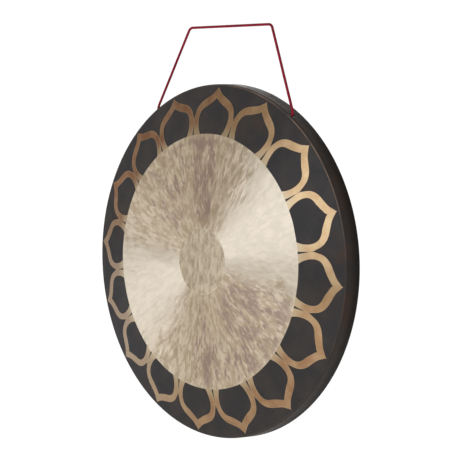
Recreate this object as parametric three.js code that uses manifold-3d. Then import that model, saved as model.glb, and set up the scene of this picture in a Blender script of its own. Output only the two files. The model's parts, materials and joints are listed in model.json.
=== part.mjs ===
// A tam tam: a bronze gong with its rim turned back, hung from two hooks by one cord.
// Millimetres, +Z up, the gong's face towards -Y. The origin is the middle of the cord's top run.
import * as THREE from "three";
import { mergeVertices } from "three/addons/utils/BufferGeometryUtils.js";
import Module from "manifold-3d";

// --- Driving dimensions -------------------------------------------------------------------------
const GONG_RADIUS = 300; // at the back edge of the rim
const SHEET = 2; // thickness of the bronze
const RIM_DEPTH = 28; // from the bend to the back edge
const RIM_FLARE = 2.4; // the rim is this much wider at the back edge than at the bend
const FACE_RISE = 15.2; // the outer zone of the face slopes forward by this much
const CROWN_RISE = 17.4; // the centre of the face stands this far in front of the bend
const POLISHED_RADIUS = 214.4; // edge of the polished zone, where the slope ends
const CENTRE_RADIUS = 56; // edge of the plain centre disc
const BEND_RADIUS = 3.4; // outside radius of the bend between face and rim

const CORD_DIAMETER = 4.5;
const CORD_SIDES = 10;
const HOOK_TO_HOLE = 144.7; // vertical distance from the top run down to the rim holes
const HOLE_DIAMETER = 9;
const HOLE_ANGLE = THREE.MathUtils.degToRad(57.3); // of the right hole, up from +X
const HOLE_SETBACK = 6.2; // from the bend back to the hole
const KNOT_DIAMETER = 13;
const KNOT_SETBACK = 3; // the knot lies this much further back than its hole, clear of the face
const NECK_LENGTH = 6; // from the tilt axis down into the knot
const TAIL_LENGTH = 14; // free end of the cord, from the middle of its knot inwards
const TAIL_SETBACK = 9; // the tail also slants this far back

const AROUND = 128; // facets around the gong
const TOUCHING_GAP = 0.3; // between two stretches of cord that meet
const TILTING_GAP = 0.8; // from the tilt axis to each cord face beside it

// --- Materials ----------------------------------------------------------------------------------
const bronze = new THREE.MeshStandardMaterial({ color: 0xb8a183, roughness: 0.35, metalness: 1 });
const crimson = new THREE.MeshStandardMaterial({ color: 0x7a1224, roughness: 0.75, metalness: 0 });

// --- Solids -------------------------------------------------------------------------------------
const wasm = await Module();
wasm.setup();

// A closed mesh geometry as a manifold-3d solid.
function solidFrom(geometry) {
  const bare = geometry.clone();
  bare.deleteAttribute("normal");
  bare.deleteAttribute("uv");
  const merged = mergeVertices(bare, 1e-4);
  const vertProperties = new Float32Array(merged.attributes.position.array);
  const triVerts = new Uint32Array(merged.index.array);
  return new wasm.Manifold(new wasm.Mesh({ numProp: 3, vertProperties, triVerts }));
}

function geometryFrom(solid) {
  const { vertProperties, triVerts } = solid.getMesh();
  const geometry = new THREE.BufferGeometry();
  geometry.setAttribute("position", new THREE.BufferAttribute(vertProperties, 3));
  geometry.setIndex(new THREE.BufferAttribute(triVerts, 1));
  geometry.computeVertexNormals();
  return geometry;
}

function named(name, geometry, material) {
  const mesh = new THREE.Mesh(geometry, material);
  mesh.name = name;
  return mesh;
}

// --- The gong -----------------------------------------------------------------------------------
// Its own frame has the axis along Y and the bend of the rim at y = 0. The profile is drawn as
// (radius, y), first along the front from the centre to the back edge, then home along the back.
function gongProfile() {
  const bendAt = GONG_RADIUS - RIM_FLARE;
  const slope = Math.atan2(FACE_RISE, bendAt - POLISHED_RADIUS);
  const flare = Math.atan2(RIM_FLARE, RIM_DEPTH);
  const turn = Math.PI / 2 - slope - flare;
  const corner = new THREE.Vector2(bendAt, 0);
  const alongFace = new THREE.Vector2(-Math.cos(slope), -Math.sin(slope));
  const reach = BEND_RADIUS * Math.tan(turn / 2);
  const bendStart = corner.clone().addScaledVector(alongFace, reach);
  const inward = new THREE.Vector2(-Math.sin(slope), Math.cos(slope));
  const bendCentre = bendStart.clone().addScaledVector(inward, BEND_RADIUS);
  const bend = (radius) =>
    [0, 0.25, 0.5, 0.75, 1].map((share) => {
      const heading = slope - Math.PI / 2 + share * turn;
      const x = bendCentre.x + radius * Math.cos(heading);
      return new THREE.Vector2(x, bendCentre.y + radius * Math.sin(heading));
    });
  const front = [
    new THREE.Vector2(0, -CROWN_RISE),
    new THREE.Vector2(CENTRE_RADIUS, -CROWN_RISE),
    new THREE.Vector2(POLISHED_RADIUS, -FACE_RISE),
    ...bend(BEND_RADIUS),
    new THREE.Vector2(GONG_RADIUS, RIM_DEPTH),
  ];
  const back = [
    new THREE.Vector2(0, SHEET - CROWN_RISE),
    new THREE.Vector2(CENTRE_RADIUS, SHEET - CROWN_RISE),
    new THREE.Vector2(POLISHED_RADIUS - SHEET * Math.tan(slope / 2), SHEET - FACE_RISE),
    ...bend(BEND_RADIUS - SHEET),
    new THREE.Vector2(GONG_RADIUS - SHEET, RIM_DEPTH),
  ];
  return [...front, ...back.reverse()];
}

// Depth of the centre of mass of a solid turned from this outline, by Pappus's theorem on the
// triangles that its edges make with the origin.
function massDepth(profile) {
  let volume = 0;
  let moment = 0;
  profile.forEach((a, i) => {
    const b = profile[(i + 1) % profile.length];
    const area = a.x * b.y - b.x * a.y;
    volume += area * (a.x + b.x);
    moment += (area * (a.x * a.y + b.x * b.y + (a.x + b.x) * (a.y + b.y))) / 4;
  });
  return moment / volume;
}

const profile = gongProfile();
const holeRadius = GONG_RADIUS - RIM_FLARE * (1 - HOLE_SETBACK / RIM_DEPTH) - SHEET / 2;
const holeHeight = holeRadius * Math.sin(HOLE_ANGLE);

// The gong hangs with its centre of mass under the holes, so it leans forward a little at the top.
const lean = Math.atan2(HOLE_SETBACK - massDepth(profile), holeHeight);

// The direction from the gong's centre out through a hole, in the gong's own frame.
function outward(side) {
  return new THREE.Vector3(side * Math.cos(HOLE_ANGLE), 0, Math.sin(HOLE_ANGLE));
}

function gongGeometry() {
  const turned = new THREE.LatheGeometry(profile, AROUND);
  let gong = solidFrom(turned);
  for (const side of [-1, 1]) {
    const drill = new THREE.CylinderGeometry(HOLE_DIAMETER / 2, HOLE_DIAMETER / 2, 20, 24);
    drill.applyQuaternion(new THREE.Quaternion().setFromUnitVectors(
      new THREE.Vector3(0, 1, 0),
      outward(side),
    ));
    const middle = outward(side).multiplyScalar(holeRadius);
    drill.translate(middle.x, HOLE_SETBACK, middle.z);
    gong = gong.subtract(solidFrom(drill));
  }
  return geometryFrom(gong);
}

// --- The cord -----------------------------------------------------------------------------------
// The right leg's centreline, as [x, z]: level, over the hook, straight down to the rim and
// round into its hole, where it ends just above the tilt axis.
const LEG_ROUTE = [
  [80, 0],
  [86, 0],
  [90.4, 0],
  [93.1, -0.4],
  [95.7, -1.6],
  [97.9, -3.4],
  [99.4, -5.8],
  [106.1, -20],
  [115.5, -40],
  [124.9, -60],
  [134.2, -80],
  [143.6, -100],
  [153, -120],
  [160, -134.8],
  [160.8, -136.9],
  [161.2, -139.2],
  [161.1, -141.5],
  [160.6, -143.8],
];

function cordSection() {
  return new THREE.Shape().absarc(0, 0, CORD_DIAMETER / 2, 0, 2 * Math.PI);
}

function cordGeometry(points, steps) {
  const extrudePath = new THREE.CatmullRomCurve3(points, false, "centripetal");
  const curveSegments = CORD_SIDES;
  return new THREE.ExtrudeGeometry(cordSection(), { extrudePath, steps, curveSegments });
}

function topRunGeometry() {
  const end = LEG_ROUTE[0][0] - TOUCHING_GAP;
  return cordGeometry([new THREE.Vector3(-end, 0, 0), new THREE.Vector3(end, 0, 0)], 12);
}

function legGeometry(side) {
  const points = LEG_ROUTE.map(([x, z]) => new THREE.Vector3(side * x, 0, z));
  return cordGeometry(points, 44);
}

// A stopper knot inside the rim, with the short stretch of cord that comes out to the tilt axis
// and the free tail beyond it. It is made in the gong's own frame.
function knotGeometry(side) {
  const out = outward(side);
  const mouth = out.clone().multiplyScalar(holeRadius - TILTING_GAP).setY(HOLE_SETBACK);
  const inset = SHEET / 2 + TOUCHING_GAP + KNOT_DIAMETER / 2;
  const heart = out.clone().multiplyScalar(holeRadius - inset).setY(HOLE_SETBACK + KNOT_SETBACK);
  const tailEnd = heart.clone().addScaledVector(out, -TAIL_LENGTH);
  tailEnd.y += TAIL_SETBACK;
  const ball = new THREE.IcosahedronGeometry(KNOT_DIAMETER / 2, 3);
  ball.translate(heart.x, heart.y, heart.z);
  const neckEnd = mouth.clone().addScaledVector(out, -NECK_LENGTH);
  const neck = cordGeometry([mouth, neckEnd], 2);
  const tail = cordGeometry([heart, tailEnd], 3);
  return geometryFrom(solidFrom(ball).add(solidFrom(neck)).add(solidFrom(tail)));
}

// --- The assembly -------------------------------------------------------------------------------
const tamTam = new THREE.Group();
tamTam.add(named("cord_top_run", topRunGeometry(), crimson));
tamTam.add(named("cord_leg_left", legGeometry(-1), crimson));
tamTam.add(named("cord_leg_right", legGeometry(1), crimson));

// The gong and its knots turn together about the line through the two holes.
const tilt = new THREE.Group();
tilt.position.set(0, 0, -HOOK_TO_HOLE);
tilt.rotation.x = lean;
const gong = new THREE.Group();
gong.position.set(0, -HOLE_SETBACK, -holeHeight);
gong.add(named("gong_disc", gongGeometry(), bronze));
gong.add(named("cord_knot_left", knotGeometry(-1), crimson));
gong.add(named("cord_knot_right", knotGeometry(1), crimson));
tilt.add(gong);
tamTam.add(tilt);

export default tamTam;
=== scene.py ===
"""A tam tam hung from its crimson cord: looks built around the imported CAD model, in metres."""

import json
import math

import bmesh
import bpy
import numpy as np
from mathutils import Matrix, Vector


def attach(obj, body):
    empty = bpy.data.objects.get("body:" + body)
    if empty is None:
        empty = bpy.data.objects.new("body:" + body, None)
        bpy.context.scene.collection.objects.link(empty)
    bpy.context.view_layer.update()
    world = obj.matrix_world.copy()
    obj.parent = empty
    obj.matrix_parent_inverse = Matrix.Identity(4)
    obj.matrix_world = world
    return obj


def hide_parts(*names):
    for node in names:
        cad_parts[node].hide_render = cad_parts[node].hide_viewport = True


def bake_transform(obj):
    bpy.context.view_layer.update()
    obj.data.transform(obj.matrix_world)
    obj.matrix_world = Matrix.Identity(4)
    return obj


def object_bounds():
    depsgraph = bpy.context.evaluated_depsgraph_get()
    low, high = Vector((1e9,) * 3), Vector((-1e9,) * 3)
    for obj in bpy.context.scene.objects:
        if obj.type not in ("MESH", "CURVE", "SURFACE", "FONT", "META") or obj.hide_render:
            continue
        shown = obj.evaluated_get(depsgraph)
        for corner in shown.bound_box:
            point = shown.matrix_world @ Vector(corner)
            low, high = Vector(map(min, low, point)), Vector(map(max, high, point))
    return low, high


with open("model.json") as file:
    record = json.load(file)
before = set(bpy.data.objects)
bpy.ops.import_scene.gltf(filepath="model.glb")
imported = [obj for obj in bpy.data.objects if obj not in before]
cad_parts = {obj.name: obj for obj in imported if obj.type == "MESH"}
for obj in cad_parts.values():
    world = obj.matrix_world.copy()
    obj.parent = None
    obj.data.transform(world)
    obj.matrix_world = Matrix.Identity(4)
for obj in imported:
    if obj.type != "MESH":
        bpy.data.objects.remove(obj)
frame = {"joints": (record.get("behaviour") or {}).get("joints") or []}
cad_low, cad_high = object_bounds()

# --- Dimensions shared with the CAD model -------------------------------------------------------
MM = 0.001
GONG_RADIUS = 300 * MM
SHEET = 2 * MM
RIM_DEPTH = 28 * MM
RIM_FLARE = 2.4 * MM
FACE_RISE = 15.2 * MM
CROWN_RISE = 17.4 * MM
POLISHED_RADIUS = 214.4 * MM
CENTRE_RADIUS = 56 * MM
BEND_RADIUS = 3.4 * MM
CORD_DIAMETER = 4.5 * MM
HOLE_DIAMETER = 9 * MM
HOLE_ANGLE = math.radians(57.3)
HOLE_SETBACK = 6.2 * MM
HOLE_RADIUS = GONG_RADIUS - RIM_FLARE * (1 - HOLE_SETBACK / RIM_DEPTH) - SHEET / 2
LEAN = math.radians(3.022)
KNOT_DIAMETER = 13 * MM
KNOT_SETBACK = 3 * MM
TAIL_LENGTH = 14 * MM
TAIL_SETBACK = 9 * MM
TOUCHING_GAP = 0.3 * MM

# The right leg of the cord, as (x, z) in millimetres: level, over the hook, straight down to
# the rim and round into its hole.
LEG_ROUTE = [
    (80, 0), (86, 0), (90.4, 0), (93.1, -0.4), (95.7, -1.6), (97.9, -3.4), (99.4, -5.8),
    (106.1, -20), (115.5, -40), (124.9, -60), (134.2, -80), (143.6, -100), (153, -120),
    (160, -134.8), (160.8, -136.9), (161.2, -139.2), (161.1, -141.5), (160.6, -143.8),
]

# --- The gong's own frame: its axis along Y, the bend of its rim at y = 0 ------------------------
tilt_joint = next(j for j in frame["joints"] if j["name"] == "gong_tilt")
lean = Matrix.Rotation(LEAN, 4, "X")
drop = Vector((0, -HOLE_SETBACK, -HOLE_RADIUS * math.sin(HOLE_ANGLE)))
gong_frame = Matrix.Translation(Vector(tilt_joint["pos_m"])) @ lean @ Matrix.Translation(drop)
gong_centre = gong_frame.translation

# --- Camera -------------------------------------------------------------------------------------
VIEW_AZIMUTH = math.radians(45.09)
VIEW_ELEVATION = math.radians(3.36)
VIEW_ROLL = math.radians(5.71)
VIEW_DISTANCE = 1.6526
VIEW_LENS_MM = 78.16
AIM = gong_centre + Vector((0.0457, -0.0031, 0.0583))


def add_camera():
    """The photo's view of the gong."""
    cos_el = math.cos(VIEW_ELEVATION)
    back = Vector((
        math.sin(VIEW_AZIMUTH) * cos_el,
        -math.cos(VIEW_AZIMUTH) * cos_el,
        math.sin(VIEW_ELEVATION),
    ))
    level_right = Vector((math.cos(VIEW_AZIMUTH), math.sin(VIEW_AZIMUTH), 0))
    level_up = back.cross(level_right)
    right = math.cos(VIEW_ROLL) * level_right + math.sin(VIEW_ROLL) * level_up
    up = back.cross(right)
    data = bpy.data.cameras.new("camera")
    data.lens = VIEW_LENS_MM
    camera = bpy.data.objects.new("camera", data)
    bpy.context.scene.collection.objects.link(camera)
    turn = Matrix((right, up, back)).transposed().to_4x4()
    camera.matrix_world = Matrix.Translation(AIM + back * VIEW_DISTANCE) @ turn
    bpy.context.scene.camera = camera


add_camera()


# --- Mesh helpers -------------------------------------------------------------------------------
def make_object(name, vertices, faces):
    mesh = bpy.data.meshes.new(name)
    mesh.from_pydata([tuple(v) for v in vertices], [], faces)
    mesh.polygons.foreach_set("use_smooth", [True] * len(mesh.polygons))
    mesh.update()
    made = bpy.data.objects.new(name, mesh)
    bpy.context.scene.collection.objects.link(made)
    return made


def catmull_rom(points, step):
    """Points about one step apart on a smooth curve through these points."""
    points = [Vector(p) for p in points]
    ends = [2 * points[0] - points[1], *points, 2 * points[-1] - points[-2]]
    made = []
    for a, b, c, d in zip(ends, ends[1:], ends[2:], ends[3:]):
        count = max(1, round((c - b).length / step))
        for i in range(count):
            t = i / count
            made.append(0.5 * (
                2 * b + (c - a) * t + (2 * a - 5 * b + 4 * c - d) * t**2
                + (3 * b - 3 * c + d - a) * t**3
            ))
    return [*made, points[-1]]


BRAID_CARRIERS = 6  # strands that run each way round the cord
BRAID_PITCH = 17 * MM  # length in which a strand goes once round
BRAID_RELIEF = 0.3 * MM


def braid_height(angle, along):
    """Height of a plaited surface, 0 to 1, at an angle round the cord and a length along it."""
    turn = BRAID_CARRIERS * angle / (2 * math.pi)
    climb = BRAID_CARRIERS * along / BRAID_PITCH
    one, other = turn + climb, turn - climb
    over = (np.floor(one) + np.floor(other)) % 2 == 0
    across = np.where(over, one, other) % 1
    lengthways = np.where(over, other, one) % 1
    crown = np.sqrt(np.clip(1 - (2 * across - 1) ** 2, 0, 1))
    return crown * (0.55 + 0.45 * np.sin(math.pi * lengthways))


def braided_tube(name, centreline, diameter, sides):
    """A closed tube along these points, with the relief of a round braid."""
    points = np.array([tuple(p) for p in centreline])
    steps = np.linalg.norm(np.diff(points, axis=0), axis=1)
    along = np.concatenate([[0], np.cumsum(steps)])
    tangents = np.gradient(points, axis=0)
    tangents /= np.linalg.norm(tangents, axis=1)[:, None]
    normal = Vector(tangents[0]).orthogonal().normalized()
    angles = np.linspace(0, 2 * math.pi, sides, endpoint=False)
    rings = []
    for i, point in enumerate(points):
        tangent = Vector(tangents[i])
        if i:
            turn = Vector(tangents[i - 1]).rotation_difference(tangent)
            normal = (turn @ normal).normalized()
        binormal = np.array(tangent.cross(normal))
        height = braid_height(angles, along[i])
        radius = diameter / 2 - BRAID_RELIEF * (1 - height)
        circle = np.cos(angles)[:, None] * np.array(normal) + np.sin(angles)[:, None] * binormal
        rings.append(point + circle * radius[:, None])
    vertices = np.vstack([*rings, points[0], points[-1]])
    count = len(points)
    faces = [
        (i * sides + j, i * sides + (j + 1) % sides,
         (i + 1) * sides + (j + 1) % sides, (i + 1) * sides + j)
        for i in range(count - 1) for j in range(sides)
    ]
    first, last = count * sides, count * sides + 1
    end = (count - 1) * sides
    faces += [(first, (j + 1) % sides, j) for j in range(sides)]
    faces += [(last, end + j, end + (j + 1) % sides) for j in range(sides)]
    return make_object(name, vertices, faces)


# --- The cord, from knot to knot ----------------------------------------------------------------
def outward(side):
    """The direction from the gong's axis out through a rim hole, in the gong's own frame."""
    return Vector((side * math.cos(HOLE_ANGLE), 0, math.sin(HOLE_ANGLE)))


def knot_heart(side):
    """The middle of a stopper knot, in the model's frame."""
    inset = SHEET / 2 + TOUCHING_GAP + KNOT_DIAMETER / 2
    local = outward(side) * (HOLE_RADIUS - inset)
    local.y = HOLE_SETBACK + KNOT_SETBACK
    return gong_frame @ local


CORD_STEP = 0.7 * MM
CORD_MESH_SIDES = 30
KNOT_MESH_SIDES = 20
KNOT_SCALE = 0.164  # of the knot's curve, to its diameter
KNOT_FLATNESS = 1.25
TAIL_EXIT = 9 * MM  # from the middle of the knot in to where its tail comes out
TAIL_EXIT_SETBACK = 5 * MM


def cord_route():
    """The cord's centreline points from the left knot to the right one."""
    leg = [Vector((x * MM, 0, z * MM)) for x, z in LEG_ROUTE]
    mirrored = [Vector((-p.x, p.y, p.z)) for p in leg]
    top = [Vector((x * MM, 0, 0)) for x in (-60, -30, 0, 30, 60)]
    start, end = knot_heart(-1), knot_heart(1)
    return [start, *reversed(mirrored), *top, *leg, end]


def add_cord():
    route = catmull_rom(cord_route(), CORD_STEP)
    cord = braided_tube("cord", route, CORD_DIAMETER, CORD_MESH_SIDES)
    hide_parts("cord_top_run", "cord_leg_left", "cord_leg_right")
    return cord, route


def overhand_knot(side):
    """A tightened overhand knot with a short tail, in the model's frame."""
    heart = knot_heart(side)
    out = (lean @ outward(side)).normalized()
    back = (lean @ Vector((0, 1, 0))).normalized()
    across = out.cross(back)
    size = KNOT_SCALE * KNOT_DIAMETER
    loop = []
    for t in np.linspace(0.12, 0.88, 25) * 2 * math.pi:
        x = math.sin(t) + 2 * math.sin(2 * t)
        y = math.cos(t) - 2 * math.cos(2 * t)
        z = -KNOT_FLATNESS * math.sin(3 * t)
        loop.append(heart + size * (x * across + y * out + z * back))
    tail = [
        heart - out * TAIL_EXIT + back * TAIL_EXIT_SETBACK,
        heart - out * TAIL_LENGTH + back * TAIL_SETBACK,
    ]
    route = catmull_rom([*loop, *tail], CORD_STEP)
    name = "knot_left" if side < 0 else "knot_right"
    knot = braided_tube(name, route, CORD_DIAMETER, KNOT_MESH_SIDES)
    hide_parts(f"cord_{name}")
    return knot


cord, cord_points = add_cord()
knots = [overhand_knot(-1), overhand_knot(1)]

# --- The gong's mesh ----------------------------------------------------------------------------
AROUND = 320
RING_STEP = 3 * MM
EDGE_ROUNDING = 0.5 * MM
HAMMER_SEED = 7
HAMMER_MARKS = 1500
HAMMERED_RADIUS = 291.84 * MM  # the marks fade out over the last stretch before this
FADE_WIDTH = 8 * MM
FACE_FINISH, RIM_FINISH, BACK_FINISH = range(3)  # material slots of the gong's mesh
RIM_STARTS_AT = -0.6 * MM  # depth of the first ring with the rim's finish


def resampled(points, step):
    made = []
    for a, b in zip(points, points[1:]):
        count = max(1, math.ceil((b - a).length / step))
        made += [a.lerp(b, i / count) for i in range(count)]
    return [*made, points[-1]]


def gong_profile():
    """The sheet's outline as (radius, y): the front from the centre to the back edge, then home."""
    bend_at = GONG_RADIUS - RIM_FLARE
    slope = math.atan2(FACE_RISE, bend_at - POLISHED_RADIUS)
    flare = math.atan2(RIM_FLARE, RIM_DEPTH)
    turn = math.pi / 2 - slope - flare
    reach = BEND_RADIUS * math.tan(turn / 2)
    start = Vector((bend_at - reach * math.cos(slope), -reach * math.sin(slope)))
    centre = start + Vector((-math.sin(slope), math.cos(slope))) * BEND_RADIUS

    def bend(radius):
        headings = [slope - math.pi / 2 + turn * i / 8 for i in range(9)]
        return [centre + Vector((math.cos(h), math.sin(h))) * radius for h in headings]

    edge = Vector((GONG_RADIUS, RIM_DEPTH))
    inner_edge = Vector((GONG_RADIUS - SHEET, RIM_DEPTH))
    rounding = EDGE_ROUNDING
    front = [
        Vector((0, -CROWN_RISE)),
        Vector((CENTRE_RADIUS - 0.8 * MM, -CROWN_RISE)),
        Vector((CENTRE_RADIUS, -CROWN_RISE + 0.12 * MM)),
        Vector((CENTRE_RADIUS + 0.8 * MM, -CROWN_RISE)),
        Vector((POLISHED_RADIUS, -FACE_RISE)),
        *bend(BEND_RADIUS),
        edge + Vector((0, -rounding)),
        edge + Vector((-0.3 * rounding, -0.3 * rounding)),
        edge + Vector((-rounding, 0)),
    ]
    back = [
        inner_edge + Vector((rounding, 0)),
        inner_edge + Vector((0.3 * rounding, -0.3 * rounding)),
        inner_edge + Vector((0, -rounding)),
        *reversed(bend(BEND_RADIUS - SHEET)),
        Vector((POLISHED_RADIUS, SHEET - FACE_RISE)),
        Vector((CENTRE_RADIUS, SHEET - CROWN_RISE)),
        Vector((0, SHEET - CROWN_RISE)),
    ]
    return resampled(front, RING_STEP), resampled(back, RING_STEP)


def hammer_relief(x, z):
    """Depth of the hammer marks at points of the disc, in metres."""
    rng = np.random.default_rng(HAMMER_SEED)
    relief = np.zeros(len(x))
    distance = GONG_RADIUS * 0.97 * np.sqrt(rng.random(HAMMER_MARKS))
    angle = rng.random(HAMMER_MARKS) * 2 * math.pi
    sizes = rng.uniform(8, 15, HAMMER_MARKS) * MM
    depths = rng.uniform(0.06, 0.17, HAMMER_MARKS) * MM
    for r, a, size, depth in zip(distance, angle, sizes, depths):
        gap = (x - r * math.cos(a)) ** 2 + (z - r * math.sin(a)) ** 2
        near = gap < 9 * size**2
        relief[near] += depth * np.exp(-gap[near] / size**2)
    return relief


def add_gong():
    front, back = gong_profile()
    rings = [*front[1:], *back[:-1]]
    angles = np.linspace(0, 2 * math.pi, AROUND, endpoint=False)
    radius = np.repeat([p.x for p in rings], AROUND)
    depth = np.repeat([p.y for p in rings], AROUND)
    x = radius * np.tile(np.cos(angles), len(rings))
    z = radius * np.tile(np.sin(angles), len(rings))
    hammered = np.clip((HAMMERED_RADIUS - radius) / FADE_WIDTH, 0, 1)
    y = depth + hammer_relief(x, z) * hammered
    vertices = np.column_stack([x, y, z])
    vertices = np.vstack([vertices, (0, front[0].y, 0), (0, back[-1].y, 0)])
    front_pole, back_pole = len(vertices) - 2, len(vertices) - 1
    last = (len(rings) - 1) * AROUND
    faces, finishes = [], []
    for j in range(AROUND):
        k = (j + 1) % AROUND
        faces += [(front_pole, j, k), (back_pole, last + k, last + j)]
        finishes += [FACE_FINISH, BACK_FINISH]
        for i, ring in enumerate(rings[:-1]):
            low, high = i * AROUND, (i + 1) * AROUND
            faces.append((low + j, high + j, high + k, low + k))
            on_rim = ring.y > RIM_STARTS_AT
            front_finish = RIM_FINISH if on_rim else FACE_FINISH
            finishes.append(front_finish if i < len(front) - 1 else BACK_FINISH)
    gong = make_object("gong", vertices, faces)
    for material in (face_material(), rim_material(), back_material()):
        gong.data.materials.append(material)
    gong.data.polygons.foreach_set("material_index", finishes)
    cut_rim_holes(gong)
    gong.data.transform(gong_frame)
    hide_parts("gong_disc")
    return gong


def cut_rim_holes(gong):
    for side in (-1, 1):
        drill_mesh = bpy.data.meshes.new("drill")
        shape = bmesh.new()
        radius = HOLE_DIAMETER / 2
        bmesh.ops.create_cone(
            shape, cap_ends=True, segments=40, radius1=radius, radius2=radius, depth=16 * MM
        )
        shape.to_mesh(drill_mesh)
        shape.free()
        drill = bpy.data.objects.new("drill", drill_mesh)
        bpy.context.scene.collection.objects.link(drill)
        out = outward(side)
        middle = out * HOLE_RADIUS + Vector((0, HOLE_SETBACK, 0))
        turn = Vector((0, 0, 1)).rotation_difference(out)
        drill.matrix_world = Matrix.Translation(middle) @ turn.to_matrix().to_4x4()
        cut = gong.modifiers.new("hole", "BOOLEAN")
        cut.object = drill
        cut.solver = "EXACT"
        bpy.context.view_layer.update()
        graph = bpy.context.evaluated_depsgraph_get()
        carved = bpy.data.meshes.new_from_object(gong.evaluated_get(graph))
        gong.modifiers.clear()
        gong.data = carved
        bpy.data.objects.remove(drill)
    gong.data.polygons.foreach_set("use_smooth", [True] * len(gong.data.polygons))


# --- Materials ----------------------------------------------------------------------------------
class Nodes:
    """A small helper that adds shader nodes and links them."""

    def __init__(self, name):
        self.material = bpy.data.materials.new(name)
        self.material.use_nodes = True
        self.tree = self.material.node_tree
        self.shader = self.tree.nodes["Principled BSDF"]

    def add(self, kind, inputs=(), **settings):
        node = self.tree.nodes.new(kind)
        for key, value in settings.items():
            setattr(node, key, value)
        for socket, value in dict(inputs).items():
            self.set(node.inputs[socket], value)
        return node

    def set(self, socket, value):
        if isinstance(value, bpy.types.NodeSocket):
            self.tree.links.new(value, socket)
        else:
            socket.default_value = value

    def math(self, operation, a, b=0.0, clamp=False):
        node = self.add("ShaderNodeMath", {0: a, 1: b}, operation=operation, use_clamp=clamp)
        return node.outputs[0]

    def smooth(self, value, low, high):
        """0 below low, 1 above high and a smooth step between them."""
        node = self.add(
            "ShaderNodeMapRange", {"Value": value, "From Min": low, "From Max": high},
            interpolation_type="SMOOTHSTEP",
        )
        return node.outputs["Result"]

    def mix(self, share, a, b):
        node = self.add("ShaderNodeMix", data_type="RGBA")
        for index, value in ((0, share), (6, a), (7, b)):
            self.set(node.inputs[index], value)
        return node.outputs[2]

    def mix_value(self, share, a, b):
        node = self.add("ShaderNodeMix", data_type="FLOAT")
        for index, value in ((0, share), (2, a), (3, b)):
            self.set(node.inputs[index], value)
        return node.outputs[0]

    def noise(self, vector, scale, detail=4.0, roughness=0.55, distortion=0.0):
        inputs = {"Vector": vector, "Scale": scale, "Detail": detail, "Roughness": roughness,
                  "Distortion": distortion}
        return self.add("ShaderNodeTexNoise", inputs).outputs["Fac"]

    def shade(self, inputs):
        """Sets these inputs of the material's shader."""
        for socket, value in inputs.items():
            self.set(self.shader.inputs[socket], value)

    def relief(self, height, strength=1.0):
        """Shades the surface as if it rose by this height, in metres."""
        inputs = {"Height": height, "Strength": strength, "Distance": 1.0}
        self.shade({"Normal": self.add("ShaderNodeBump", inputs).outputs[0]})

    def curve(self, value, points):
        """A smooth curve through these (input, output) points, all from 0 to 1."""
        node = self.add("ShaderNodeFloatCurve", {"Value": value})
        line = node.mapping.curves[0]
        line.points[0].location = points[0]
        line.points[1].location = points[-1]
        for point in points[1:-1]:
            line.points.new(*point)
        node.mapping.update()
        return node.outputs[0]


def srgb(red, green, blue):
    """A display colour, 0 to 255, as the linear colour that a shader takes."""
    linear = [
        c / 12.92 if c <= 0.04045 else ((c + 0.055) / 1.055) ** 2.4
        for c in (red / 255, green / 255, blue / 255)
    ]
    return (*linear, 1.0)


# The colours of the finishes. Noise mixes the light and the dark tone of each pair.
PATINA_DARK = srgb(51, 48, 46)
PATINA_BROWN = srgb(62, 56, 51)
PATINA_RUST = srgb(68, 52, 42)
PETAL_HALO = srgb(62, 46, 38)
GOLD_LIGHT = srgb(214, 183, 137)
GOLD_DARK = srgb(199, 162, 117)
# Painted shade on the petals' left and lower right, partly a real coppery tint, with the tan below.
COPPER_PAINTED_SHADE_LIGHT = srgb(168, 132, 102)
COPPER_PAINTED_SHADE_DARK = srgb(146, 104, 76)
TAN_PAINTED_SHADE_PETAL = srgb(168, 145, 120)
PETAL_EDGE = srgb(196, 168, 132)
PETAL_FOOT = srgb(204, 186, 152)
# Painted shade in the hollows of the hammer streaks.
SILVER_PAINTED_HOLLOW_SHADE = srgb(198, 178, 149)
# A painted highlight: the lighter tone of the two sectors scraped more smoothly.
SILVER_PAINTED_SECTOR_HIGHLIGHT = srgb(220, 205, 179)
# Painted glints on the crests of the hammer streaks.
SILVER_PAINTED_CREST_GLINT = srgb(231, 214, 188)
TARNISH = srgb(176, 153, 138)
CENTRE_LIGHT = srgb(218, 202, 174)
CENTRE_DARK = srgb(178, 160, 136)
RIM_RUST = srgb(66, 52, 44)
# Painted shade towards the rim's back edge.
RIM_SHADE = srgb(24, 21, 18)
# A painted highlight along the bend between the face and the rim.
BEND_PAINTED_HIGHLIGHT = srgb(134, 109, 90)
BACK_RUST = srgb(84, 62, 48)
BACK_SCRAPED = srgb(150, 122, 88)
CRIMSON_DARK = srgb(120, 0, 26)
CRIMSON_LIGHT = srgb(144, 0, 36)
CRIMSON_SHADE = srgb(106, 0, 24)

# Angles on the face are in degrees clockwise from the top.
# The two opposite sectors below are scraped more smoothly and painted lighter as a painted
# highlight.
SMOOTH_HIGHLIT_SECTOR = 65  # middle of one of the two opposite sectors that are scraped smoother
TARNISH_PATCHES = [  # middle, spread and strength
    (-4, 17, 0.85), (112, 28, 0.75), (138, 24, 0.6), (172, 14, 0.6), (-34, 36, 0.5),
]
STREAK_HEIGHT = 0.5 * MM
STREAKS_ALONG = 2.4  # a larger value makes the streaks shorter
PETALS = 16
PETAL_SPAN = 360 / PETALS  # degrees
PETAL_FROM, PETAL_TO = 0.70, 0.98  # shares of the gong's radius that the curves below cover
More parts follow.
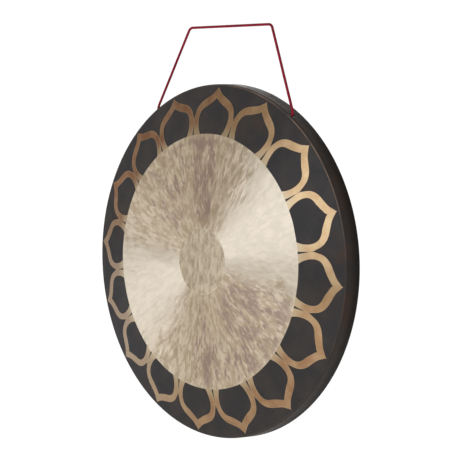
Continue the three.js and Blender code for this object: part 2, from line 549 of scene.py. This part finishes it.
# Half the petal's width, in degrees seen from the gong's axis, at shares of the gong's radius.
PETAL_OUTSIDE = [
    (0.700, 10.65), (0.715, 10.75), (0.740, 10.95), (0.765, 11.1), (0.790, 11.25), (0.808, 11.15),
    (0.830, 10.6), (0.860, 9.75), (0.880, 8.75), (0.900, 7.1), (0.920, 4.35), (0.935, 2.45),
    (0.955, 1.05), (0.9755, 0.0), (0.980, 0.0),
]
PETAL_INSIDE = [
    (0.700, 6.3), (0.715, 6.85), (0.740, 7.8), (0.765, 8.3), (0.795, 8.5), (0.825, 8.17),
    (0.845, 7.45), (0.860, 6.25), (0.875, 4.0), (0.895, 1.75), (0.918, 0.0), (0.980, 0.0),
]


def petal_curve(nodes, share, outline):
    span = PETAL_TO - PETAL_FROM
    points = [((r - PETAL_FROM) / span, half / PETAL_SPAN) for r, half in outline]
    return nodes.curve(share, points)


def petal_bands(nodes, radius, angle):
    """Depth inside the petals' polished outlines, in metres, below 0 on the patina around them."""
    turns = nodes.math("MULTIPLY", angle, PETALS / (2 * math.pi))
    folded = nodes.math("PINGPONG", turns, 0.5)
    share = nodes.math(
        "DIVIDE",
        nodes.math("SUBTRACT", nodes.math("DIVIDE", radius, GONG_RADIUS), PETAL_FROM),
        PETAL_TO - PETAL_FROM,
        clamp=True,
    )
    outside = petal_curve(nodes, share, PETAL_OUTSIDE)
    inside = petal_curve(nodes, share, PETAL_INSIDE)
    arc = nodes.math("MULTIPLY", radius, 2 * math.pi / PETALS)
    to_outside = nodes.math("MULTIPLY", nodes.math("SUBTRACT", outside, folded), arc)
    to_inside = nodes.math("MULTIPLY", nodes.math("SUBTRACT", folded, inside), arc)
    return nodes.math("MINIMUM", to_outside, to_inside)


def gong_place(nodes):
    """The shaded point in the gong's own frame."""
    place = nodes.add("ShaderNodeTexCoord").outputs["Object"]
    inputs = {"Vector": place, "Location": gong_centre, "Rotation": (LEAN, 0, 0)}
    return nodes.add("ShaderNodeMapping", inputs, vector_type="TEXTURE").outputs["Vector"]


def polar_fields(nodes, place):
    """Radius, angle clockwise from straight up, and depth in the gong's own frame."""
    x, y, z = nodes.add("ShaderNodeSeparateXYZ", {0: place}).outputs
    squares = nodes.math("ADD", nodes.math("MULTIPLY", x, x), nodes.math("MULTIPLY", z, z))
    return nodes.math("SQRT", squares), nodes.math("ARCTAN2", x, z), y


def radial_streaks(nodes, radius, angle, fineness):
    """Noise drawn out along the radius, kept about as wide near the axis as near the edge."""
    made = []
    for count in (0.45 * fineness, fineness):
        around = nodes.add("ShaderNodeCombineXYZ", {
            0: nodes.math("COSINE", angle),
            1: nodes.math("SINE", angle),
            2: nodes.math("MULTIPLY", radius, STREAKS_ALONG * fineness / count),
        }).outputs[0]
        made.append(nodes.noise(around, count, 3, 0.55, 0.5))
    return nodes.mix_value(nodes.smooth(radius, 60 * MM, 150 * MM), *made)


def lobe(nodes, angle, middle, spread):
    """1 in one direction from the gong's axis, falling smoothly to 0 this many degrees away."""
    turned = nodes.math("COSINE", nodes.math("SUBTRACT", angle, math.radians(middle)))
    return nodes.smooth(turned, math.cos(math.radians(spread)), 1.0)


def patina_colour(nodes, place):
    cloudy = nodes.smooth(nodes.noise(place, 26, 5, 0.6), 0.35, 0.7)
    colour = nodes.mix(cloudy, PATINA_DARK, PATINA_BROWN)
    rusty = nodes.smooth(nodes.noise(place, 11, 6, 0.7), 0.54, 0.74)
    return nodes.mix(rusty, colour, PATINA_RUST)


def petal_colour(nodes, place, radius, angle, band_depth):
    """Brushed gold, darker and coppery on the left and lower right as painted shade that is partly
    a real coppery tint, and paler at the petals' feet.
    """
    warmth = nodes.smooth(nodes.noise(place, 38, 4, 0.6), 0.35, 0.68)
    gold = nodes.mix(warmth, GOLD_LIGHT, GOLD_DARK)
    copper_and_painted_shade = nodes.mix(warmth, COPPER_PAINTED_SHADE_LIGHT, COPPER_PAINTED_SHADE_DARK)
    # Painted shade: darker coppery and tan tones on the sides of the petals away from the light.
    gold = nodes.mix(lobe(nodes, angle, -50, 110), gold, copper_and_painted_shade)
    gold = nodes.mix(nodes.math("MULTIPLY", lobe(nodes, angle, 145, 75), 0.7), gold, copper_and_painted_shade)
    gold = nodes.mix(lobe(nodes, angle, -125, 60), gold, TAN_PAINTED_SHADE_PETAL)
    gold = nodes.mix(nodes.smooth(band_depth, 1.2 * MM, 0.2 * MM), gold, PETAL_EDGE)
    foot = nodes.smooth(radius, POLISHED_RADIUS + 22 * MM, POLISHED_RADIUS)
    return nodes.mix(nodes.math("MULTIPLY", foot, 0.6), gold, PETAL_FOOT)


def smooth_highlit_sectors(nodes, angle, blotches):
    """1 in two opposite sectors with ragged edges, which are scraped more smoothly than the rest
    and are painted lighter as a painted highlight.
    """
    sector = nodes.math("COSINE", nodes.math("SUBTRACT", angle, math.radians(SMOOTH_HIGHLIT_SECTOR)))
    ragged = nodes.math("MULTIPLY", nodes.math("SUBTRACT", blotches, 0.5), 0.5)
    sector = nodes.math("ADD", nodes.math("ABSOLUTE", sector), ragged)
    return nodes.smooth(sector, 0.79, 0.91)


def tarnish_share(nodes, radius, angle, blotches, smoother_and_highlit):
    """How tarnished the polished zone is: flecks that are denser in a few patches."""
    patches = 0.0
    for middle, spread, weight in TARNISH_PATCHES:
        share = nodes.math("MULTIPLY", lobe(nodes, angle, middle, spread), weight)
        patches = nodes.math("MAXIMUM", patches, share)
    flecks = nodes.mix_value(0.45, blotches, radial_streaks(nodes, radius, angle, 34))
    tarnish = nodes.math("ADD", nodes.math("MULTIPLY", patches, 0.2), flecks)
    tarnish = nodes.smooth(tarnish, 0.56, 0.72)
    inner_fade = nodes.smooth(radius, 52 * MM, 88 * MM)
    outer_fade = nodes.smooth(radius, POLISHED_RADIUS + 6 * MM, POLISHED_RADIUS - 14 * MM)
    tarnish = nodes.math("MULTIPLY", tarnish, nodes.math("MULTIPLY", inner_fade, outer_fade))
    # No tarnish in the highlit sectors, which keeps their painted highlight clear.
    return nodes.math("MULTIPLY", tarnish, nodes.math("SUBTRACT", 1.0, smoother_and_highlit))


def face_material():
    """A polished zone with a plain centre, inside brushed petals on raw patina."""
    nodes = Nodes("bronze_face")
    place = gong_place(nodes)
    radius, angle, _ = polar_fields(nodes, place)

    # Where each finish lies.
    polished = nodes.smooth(radius, POLISHED_RADIUS + 0.4 * MM, POLISHED_RADIUS - 0.4 * MM)
    centre = nodes.smooth(radius, CENTRE_RADIUS + 0.3 * MM, CENTRE_RADIUS - 0.3 * MM)
    band_depth = petal_bands(nodes, radius, angle)
    band = nodes.smooth(band_depth, -0.3 * MM, 0.4 * MM)
    metal = nodes.math("MAXIMUM", band, polished)

    # The patina, a little browner where it meets the petals.
    patina = patina_colour(nodes, place)
    halo = nodes.smooth(band_depth, -3.0 * MM, -0.3 * MM)
    patina = nodes.mix(nodes.math("MULTIPLY", halo, 0.5), patina, PETAL_HALO)

    # The polished zone: champagne with streaks along the radius, their crests painted light as
    # painted glints and their hollows painted darker as painted shade, and the plain centre.
    streaks = radial_streaks(nodes, radius, angle, 22)
    blotches = radial_streaks(nodes, radius, angle, 11)
    # The sectors scraped more smoothly also carry a painted highlight.
    smoother_and_highlit = smooth_highlit_sectors(nodes, angle, blotches)
    painted_hollow_shade = nodes.mix(smoother_and_highlit, SILVER_PAINTED_HOLLOW_SHADE, SILVER_PAINTED_SECTOR_HIGHLIGHT)
    silver = nodes.mix(nodes.smooth(streaks, 0.36, 0.64), painted_hollow_shade, SILVER_PAINTED_CREST_GLINT)
    silver = nodes.mix(tarnish_share(nodes, radius, angle, blotches, smoother_and_highlit), silver, TARNISH)
    stretched = nodes.add("ShaderNodeVectorMath", {0: place, 1: (1, 1, 0.45)},
                          operation="MULTIPLY").outputs["Vector"]
    plain_streaks = nodes.noise(stretched, 130, 4, 0.6, 0.4)
    plain = nodes.mix(nodes.smooth(plain_streaks, 0.35, 0.7), CENTRE_LIGHT, CENTRE_DARK)
    silver = nodes.mix(centre, silver, plain)

    # Turned metal scatters light across its grooves, which run round the axis.
    gold = petal_colour(nodes, place, radius, angle, band_depth)
    polish = nodes.mix_value(polished, 0.42, nodes.mix_value(centre, 0.42, 0.4))
    tangent = nodes.add("ShaderNodeTangent", direction_type="RADIAL", axis="Y").outputs[0]
    nodes.shade({
        "Base Color": nodes.mix(polished, nodes.mix(band, patina, gold), silver),
        "Metallic": nodes.mix_value(metal, 0.2, 1.0),
        "Roughness": nodes.mix_value(metal, 0.6, polish),
        "Specular IOR Level": 0.3,
        "Anisotropic": nodes.mix_value(centre, 0.97, 0.0),
        "Anisotropic Rotation": 0.25,
        "Tangent": tangent,
    })

    # Relief finer than the mesh: radial hammer streaks on the polished zone, grain elsewhere.
    height = nodes.mix_value(centre, streaks, plain_streaks)
    height = nodes.math("MULTIPLY", height, STREAK_HEIGHT)
    height = nodes.math("MULTIPLY", height, polished)
    height = nodes.math("MULTIPLY", height, nodes.mix_value(smoother_and_highlit, 1.0, 0.5))
    grain = nodes.math("MULTIPLY", nodes.noise(place, 500, 3, 0.6), 0.05 * MM)
    nodes.relief(nodes.math("ADD", height, grain))
    return nodes.material


def rim_material():
    """The raw patina of the rim's outside, with painted shade darkening it towards its back edge
    and a painted highlight along its bend.
    """
    nodes = Nodes("bronze_rim")
    place = gong_place(nodes)
    _, angle, depth = polar_fields(nodes, place)
    rusty = nodes.smooth(nodes.noise(place, 18, 6, 0.7), 0.46, 0.66)
    colour = nodes.mix(rusty, patina_colour(nodes, place), RIM_RUST)
    # Painted shade: darker towards the rim's back edge.
    shade = nodes.smooth(depth, 4 * MM, 24 * MM)
    colour = nodes.mix(nodes.math("MULTIPLY", shade, 0.8), colour, RIM_SHADE)
    # A painted highlight along the bend, strongest at the upper right.
    painted_bend_highlight = nodes.smooth(nodes.noise(place, 24, 4, 0.6), 0.2, 0.7)
    painted_bend_highlight = nodes.math("MULTIPLY", painted_bend_highlight, nodes.smooth(depth, 0.5 * MM, 0.0 * MM))
    painted_bend_highlight = nodes.math("MULTIPLY", painted_bend_highlight, nodes.mix_value(lobe(nodes, angle, 35, 50), 0.1, 0.8))
    nodes.shade({
        "Base Color": nodes.mix(painted_bend_highlight, colour, BEND_PAINTED_HIGHLIGHT),
        "Metallic": 0.2,
        "Roughness": nodes.mix_value(rusty, 0.6, 0.75),
        "Specular IOR Level": 0.15,
    })
    nodes.relief(nodes.math("MULTIPLY", nodes.noise(place, 300, 4, 0.6), 0.15 * MM))
    return nodes.material


def back_material():
    """The back: raw hammered patina with a few rings where a scraper has touched the bronze."""
    nodes = Nodes("bronze_back")
    place = gong_place(nodes)
    radius, angle, _ = polar_fields(nodes, place)
    rusty = nodes.smooth(nodes.noise(place, 18, 6, 0.7), 0.44, 0.68)
    colour = nodes.mix(rusty, patina_colour(nodes, place), BACK_RUST)
    ring_place = nodes.add("ShaderNodeCombineXYZ", {
        0: nodes.math("MULTIPLY", radius, 9.0),
        1: nodes.math("MULTIPLY", nodes.math("COSINE", angle), 0.1),
        2: nodes.math("MULTIPLY", nodes.math("SINE", angle), 0.1),
    }).outputs[0]
    scraped = nodes.smooth(nodes.noise(ring_place, 34, 3, 0.6), 0.54, 0.66)
    scraped = nodes.math("MULTIPLY", scraped, nodes.smooth(nodes.noise(place, 7, 3), 0.42, 0.6))
    nodes.shade({
        "Base Color": nodes.mix(nodes.math("MULTIPLY", scraped, 0.55), colour, BACK_SCRAPED),
        "Metallic": nodes.mix_value(scraped, 0.45, 0.8),
        "Roughness": nodes.mix_value(rusty, 0.42, 0.6),
    })
    dents = nodes.add("ShaderNodeTexVoronoi", {"Vector": place, "Scale": 75.0, "Smoothness": 0.7},
                      feature="SMOOTH_F1").outputs["Distance"]
    grain = nodes.math("MULTIPLY", nodes.noise(place, 300, 4, 0.6), 0.12 * MM)
    nodes.relief(nodes.math("ADD", nodes.math("MULTIPLY", dents, 0.8 * MM), grain))
    return nodes.material


def cord_material():
    nodes = Nodes("crimson_braid")
    place = nodes.add("ShaderNodeTexCoord").outputs["Object"]
    fibres = nodes.noise(place, 1800, 3, 0.6)
    shade = nodes.noise(place, 60, 2, 0.5)
    colour = nodes.mix(nodes.smooth(fibres, 0.3, 0.7), CRIMSON_DARK, CRIMSON_LIGHT)
    nodes.shade({
        "Base Color": nodes.mix(nodes.smooth(shade, 0.4, 0.8), colour, CRIMSON_SHADE),
        "Roughness": 0.7,
        "Specular IOR Level": 0.25,
        "Sheen Weight": 0.04,
        "Sheen Roughness": 0.4,
    })
    nodes.relief(nodes.math("MULTIPLY", fibres, 0.12 * MM), strength=0.6)
    return nodes.material


gong = add_gong()
crimson = cord_material()
for piece in (cord, *knots):
    piece.data.materials.append(crimson)

# --- Riding the bodies --------------------------------------------------------------------------
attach(gong, "gong")
for knot in knots:
    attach(knot, "gong")
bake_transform(cord)
tuple(knot_heart(-1))


# --- Stage and light ----------------------------------------------------------------------------
FLOOR_DROP = 0.9  # below the gong's lowest point
FLOOR_RADIUS = 3.2


def add_floor():
    """A pale round floor whose far edge fades into the white of the background."""
    sides = 96
    rim = [
        (FLOOR_RADIUS * math.cos(t), FLOOR_RADIUS * math.sin(t), 0)
        for t in np.linspace(0, 2 * math.pi, sides, endpoint=False)
    ]
    floor = make_object("floor", rim, [tuple(range(sides))])
    floor.location.z = cad_low.z - FLOOR_DROP
    nodes = Nodes("pale_floor")
    place = nodes.add("ShaderNodeTexCoord").outputs["Object"]
    distance = nodes.add("ShaderNodeVectorMath", {0: place}, operation="LENGTH").outputs["Value"]
    fade = nodes.smooth(distance, 0.3 * FLOOR_RADIUS, 0.7 * FLOOR_RADIUS)
    nodes.shade({
        "Base Color": (0.8, 0.8, 0.8, 1),
        "Roughness": 0.9,
        "Emission Color": (1, 1, 1, 1),
        "Emission Strength": nodes.mix_value(fade, 0.12, 0.8),
    })
    floor.data.materials.append(nodes.material)


def add_softbox(name, heading, distance, size, power, colour, along):
    """A rectangular light that faces the gong, with its long side along this direction."""
    data = bpy.data.lights.new(name, "AREA")
    data.shape = "RECTANGLE"
    data.size, data.size_y = size
    data.energy = power
    data.color = colour
    light = bpy.data.objects.new(name, data)
    bpy.context.scene.collection.objects.link(light)
    away = Vector(heading).normalized()
    short_side = away.cross(Vector(along)).normalized()
    long_side = short_side.cross(away)
    turn = Matrix((long_side, short_side, away)).transposed().to_4x4()
    light.matrix_world = Matrix.Translation(gong_centre + away * distance) @ turn


def add_world():
    """White behind the object, and an even warm grey for all that the object reflects."""
    world = bpy.data.worlds.new("studio")
    bpy.context.scene.world = world
    world.use_nodes = True
    tree = world.node_tree
    background = tree.nodes["Background"]
    background.inputs["Strength"].default_value = 1.0
    seen = tree.nodes.new("ShaderNodeLightPath").outputs["Is Camera Ray"]
    mix = tree.nodes.new("ShaderNodeMix")
    mix.data_type = "RGBA"
    mix.inputs[6].default_value = (0.475, 0.455, 0.43, 1)
    mix.inputs[7].default_value = (1.05, 1.05, 1.05, 1)
    tree.links.new(seen, mix.inputs[0])
    tree.links.new(mix.outputs[2], background.inputs["Color"])


add_floor()
add_world()
add_softbox(
    "key",
    heading=(0.023, -0.973, 0.230),
    distance=3.0,
    size=(4.2, 2.45),
    power=54,
    colour=(0.90, 1.02, 1.26),
    along=(0.957, 0.135, 0.460),
)
add_softbox(
    "back_fill",
    heading=(-0.55, 0.75, 0.35),
    distance=3.0,
    size=(2.4, 2.4),
    power=70,
    colour=(1.0, 0.98, 0.95),
    along=(0, 0, 1),
)
bpy.context.scene.view_settings.view_transform = "Standard"
